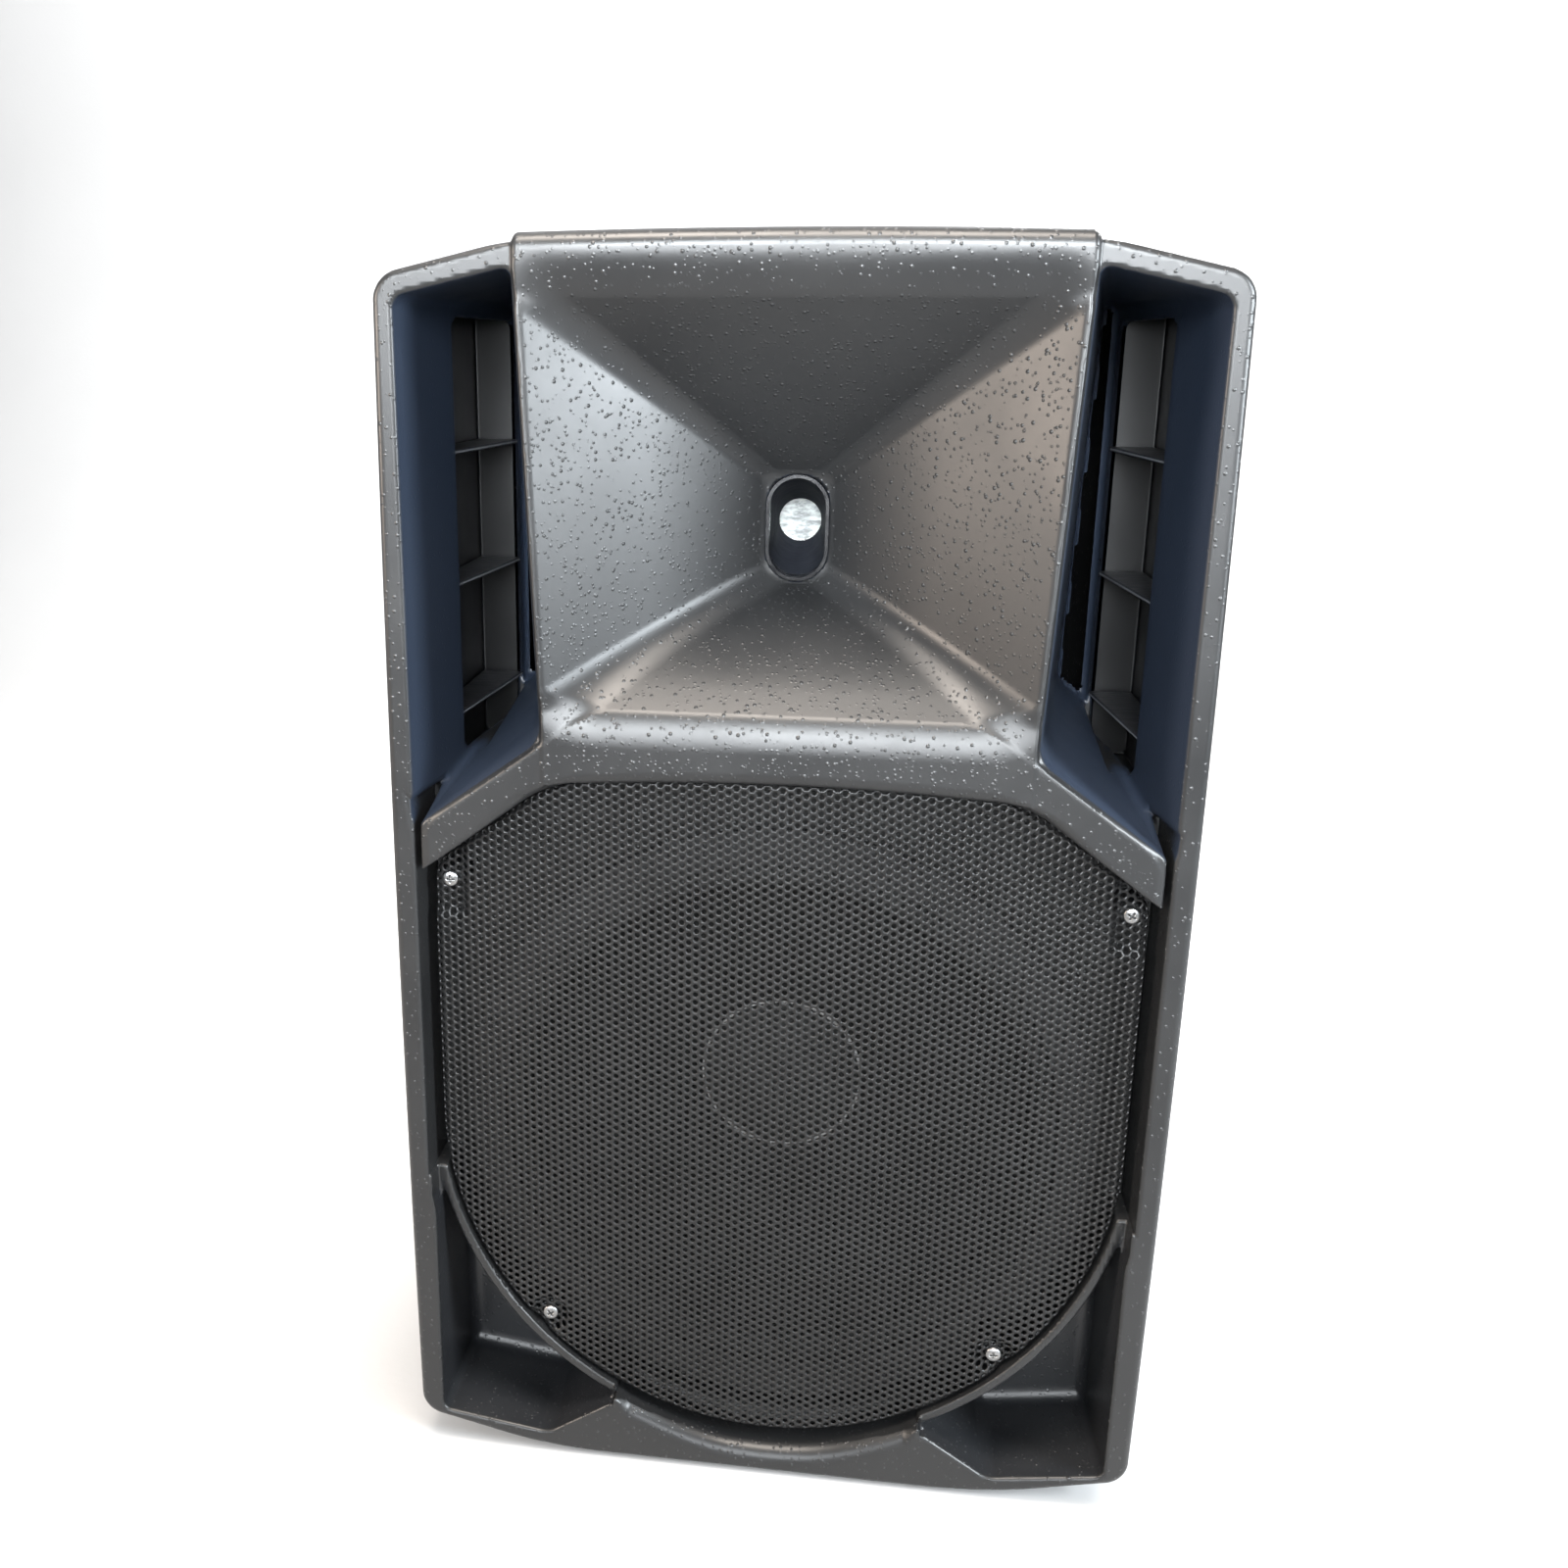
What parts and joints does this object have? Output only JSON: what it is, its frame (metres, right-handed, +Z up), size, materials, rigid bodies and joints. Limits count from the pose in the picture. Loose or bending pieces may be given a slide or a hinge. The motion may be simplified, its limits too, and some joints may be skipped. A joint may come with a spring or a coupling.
{
  "type": "pa speaker cabinet",
  "caption": "Two-way active PA speaker cabinet with a moulded horn, ported side channels, perforated grille, carrying grips, stand socket and rear amplifier panel.",
  "frame": {"origin": "centre of the footprint on the surface that the rubber feet rest on", "axes": "+Z up, front faces -Y, +X to the right seen from the front"},
  "size_m": [0.441, 0.39, 0.735],
  "materials": {
    "cabinet_plastic": "black moulded polypropylene with a raised droplet grain",
    "smooth_plastic": "smooth satin black plastic",
    "gloss_black": "gloss black",
    "seal_rubber": "soft black seal",
    "foot_rubber": "black rubber",
    "screw_steel": "zinc plated",
    "black_screws": "black zinc",
    "grille_steel": "black powder coat",
    "basket_steel": "black enamel",
    "cone_paper": "dark pulp",
    "treated_cloth": "impregnated cloth",
    "magnet_ferrite": "dark grey ferrite",
    "magnet_steel": "bright zinc",
    "coil_aluminium": "bare",
    "cast_alloy": "die cast grey",
    "screen_mesh": "fine pale mesh",
    "panel_metal": "black satin powder coat",
    "heat_sink_metal": "black anodised",
    "board_green": "green circuit board",
    "winding_copper": "varnished winding",
    "knob_plastic": "soft black",
    "lens_green": "clear green lens",
    "lead_pvc": "black flexible jacket",
    "wadding": "pale grey wadding",
    "insert_steel": "zinc plated insert"
  },
  "bodies": {
    "cabinet": {"front_shell": "cabinet_plastic", "rear_shell": "cabinet_plastic", "shell_gasket": "seal_rubber", "shell_screws": "black_screws", "grille": "grille_steel", "grille_screws": "screw_steel", "woofer_gasket": "seal_rubber", "woofer_basket": "basket_steel", "woofer_surround": "treated_cloth", "woofer_spider": "treated_cloth", "woofer_top_plate": "magnet_steel", "woofer_magnet": "magnet_ferrite", "woofer_pole_piece": "magnet_steel", "woofer_terminals": "smooth_plastic", "woofer_screws": "black_screws", "throat_ring": "gloss_black", "throat_adaptor": "cast_alloy", "horn_screws": "screw_steel", "driver_gasket": "seal_rubber", "driver_front_plate": "magnet_steel", "driver_screen": "screen_mesh", "driver_magnet": "magnet_ferrite", "driver_pole_piece": "magnet_steel", "driver_back_plate": "magnet_steel", "driver_phase_plug": "cast_alloy", "driver_cover": "smooth_plastic", "top_handle": "smooth_plastic", "side_handle_left": "smooth_plastic", "side_handle_right": "smooth_plastic", "handle_screws": "black_screws", "pole_socket": "smooth_plastic", "rigging_inserts": "insert_steel", "rubber_feet": "foot_rubber", "base_screws": "black_screws", "amplifier_panel": "panel_metal", "panel_screws": "black_screws", "heat_sink": "heat_sink_metal", "circuit_board": "board_green", "power_transformer": "winding_copper", "mains_inlet": "smooth_plastic", "power_switch_frame": "smooth_plastic", "input_socket_1": "smooth_plastic", "input_socket_2": "smooth_plastic", "link_socket": "smooth_plastic", "control_backs": "smooth_plastic", "status_lens": "lens_green", "woofer_lead": "lead_pvc", "driver_lead": "lead_pvc", "damping_foam": "wadding"},
    "woofer_cone": {"woofer_cone": "cone_paper", "woofer_dust_cap": "cone_paper", "woofer_voice_coil": "coil_aluminium"},
    "driver_diaphragm": {"driver_diaphragm": "coil_aluminium"},
    "fuse_drawer": {"fuse_drawer": "smooth_plastic"},
    "power_switch_rocker": {"power_switch_rocker": "gloss_black"},
    "socket_latch_1": {"socket_latch_1": "magnet_steel"},
    "socket_latch_2": {"socket_latch_2": "magnet_steel"},
    "level_knob_1": {"level_knob_1": "knob_plastic"},
    "level_knob_2": {"level_knob_2": "knob_plastic"},
    "voicing_button": {"voicing_button": "knob_plastic"}
  },
  "joints": [
    {"name": "cone_travel", "type": "slide", "parent": "cabinet", "child": "woofer_cone", "axis": [0, 1, 0], "range_m": [-0.006, 0.006], "stiffness_N_per_m": 4000, "deforming": ["woofer_surround", "woofer_spider"]},
    {"name": "diaphragm_travel", "type": "slide", "parent": "cabinet", "child": "driver_diaphragm", "axis": [0, 1, 0], "range_m": [-0.0004, 0.0004], "stiffness_N_per_m": 4000},
    {"name": "fuse_drawer_slide", "type": "slide", "parent": "cabinet", "child": "fuse_drawer", "axis": [0, 1, 0], "range_m": [0, 0.016]},
    {"name": "power_switch", "type": "hinge", "parent": "cabinet", "child": "power_switch_rocker", "pos_m": [-0.008, 0.174, 0.099], "axis": [1, 0, 0], "range_deg": [0, 16]},
    {"name": "latch_1_push", "type": "slide", "parent": "cabinet", "child": "socket_latch_1", "axis": [0, -1, 0], "range_m": [0, 0.0025], "stiffness_N_per_m": 300},
    {"name": "latch_2_push", "type": "slide", "parent": "cabinet", "child": "socket_latch_2", "axis": [0, -1, 0], "range_m": [0, 0.0025], "stiffness_N_per_m": 300},
    {"name": "level_1_turn", "type": "hinge", "parent": "cabinet", "child": "level_knob_1", "pos_m": [-0.062, 0.185, 0.154], "axis": [0, 1, 0], "range_deg": [-150, 150]},
    {"name": "level_2_turn", "type": "hinge", "parent": "cabinet", "child": "level_knob_2", "pos_m": [-0.014, 0.185, 0.154], "axis": [0, 1, 0], "range_deg": [-150, 150]},
    {"name": "voicing_push", "type": "slide", "parent": "cabinet", "child": "voicing_button", "axis": [0, -1, 0], "range_m": [0, 0.003], "stiffness_N_per_m": 300}
  ]
}
